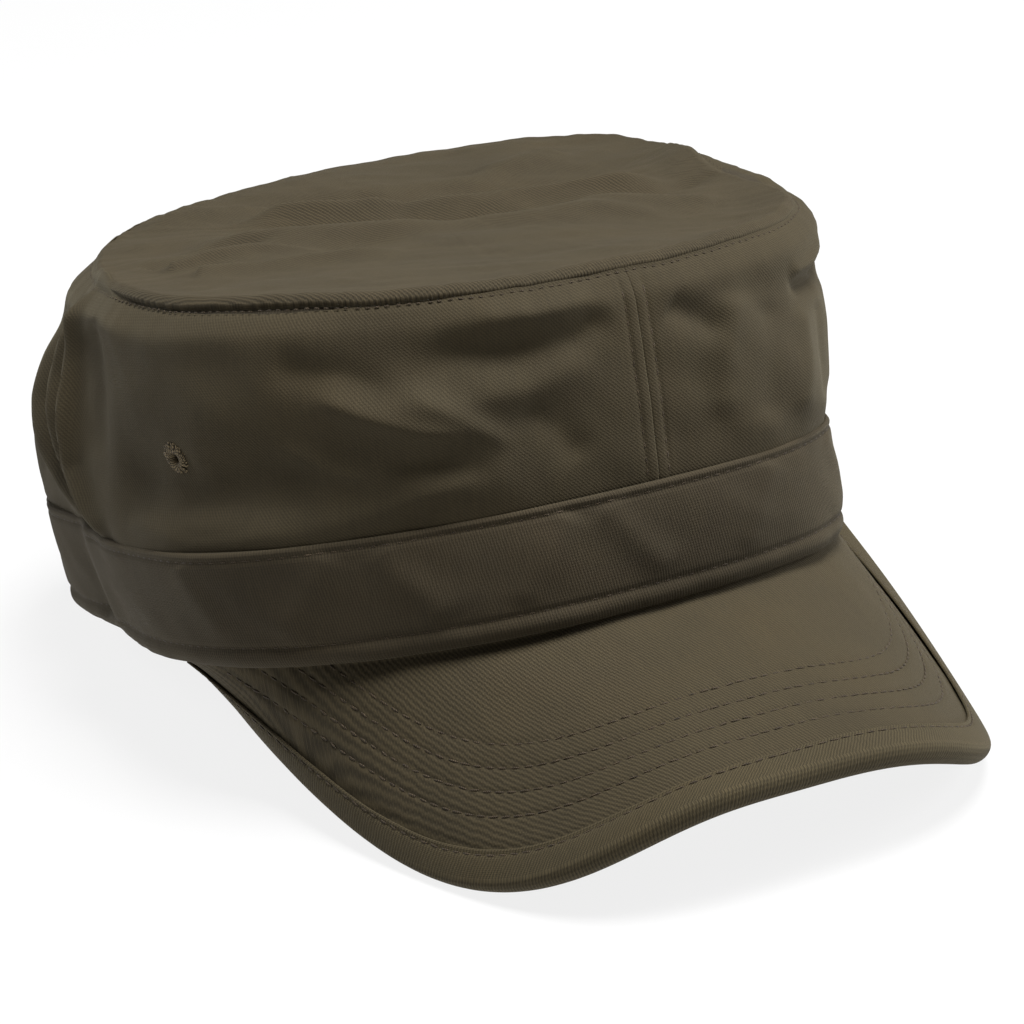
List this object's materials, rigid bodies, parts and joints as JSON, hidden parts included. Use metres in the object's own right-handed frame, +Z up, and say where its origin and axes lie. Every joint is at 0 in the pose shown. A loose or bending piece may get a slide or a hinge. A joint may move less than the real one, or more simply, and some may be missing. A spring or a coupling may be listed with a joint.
{
  "type": "military cap",
  "caption": "Soft flat-topped army cap in cotton twill with a curved stitched peak, wide outer band and hook-and-loop size adjuster.",
  "frame": {"origin": "on the ground plane, under the middle of the cap's box, with the cap standing on its peak's corners and the back of its band", "axes": "the peak points to -Y, +Z is up, and the wearer's left is +X"},
  "size_m": [0.184, 0.2679, 0.1157],
  "materials": {
    "twill": "matte cotton twill",
    "sweatband_twill": "matte cotton twill",
    "lining_tape": "matte woven tape",
    "thread": "polyester thread",
    "eyelet_thread": "embroidered thread",
    "board": "polyethylene board",
    "hook_loop": "nylon hook-and-loop",
    "label": "woven satin"
  },
  "bodies": {
    "cap": {"crown_top": "twill", "crown_side_left": "twill", "crown_side_right": "twill", "top_seam_tape": "lining_tape", "front_seam_tape": "lining_tape", "rear_seam_tape": "lining_tape", "hat_band": "twill", "sweatband": "sweatband_twill", "sweatband_core": "board", "peak_board": "board", "peak_top_cover": "twill", "peak_under_cover": "twill", "peak_binding": "twill", "arch_binding": "twill", "eyelet_left": "eyelet_thread", "eyelet_right": "eyelet_thread", "size_label": "label", "care_label": "label", "crown_seam_thread": "thread", "front_seam_thread": "thread", "rear_seam_thread": "thread", "band_thread": "thread", "peak_thread": "thread", "binding_thread": "thread"},
    "hook_strap": {"hook_tab": "twill", "hook_patch": "hook_loop", "hook_tab_thread": "thread"},
    "loop_strap": {"loop_tab": "twill", "loop_patch": "hook_loop", "loop_tab_thread": "thread"}
  },
  "joints": [
    {"name": "hook_tab_fold", "type": "hinge", "parent": "cap", "child": "hook_strap", "pos_m": [0.03689, 0.12403, 0.01261], "axis": [-0.0442, -0.2329, -0.9715], "range_deg": [0, 100]},
    {"name": "loop_tab_fold", "type": "hinge", "parent": "cap", "child": "loop_strap", "pos_m": [-0.0354, 0.12012, 0.01348], "axis": [0.0442, -0.2329, -0.9715], "range_deg": [0, 60]}
  ]
}
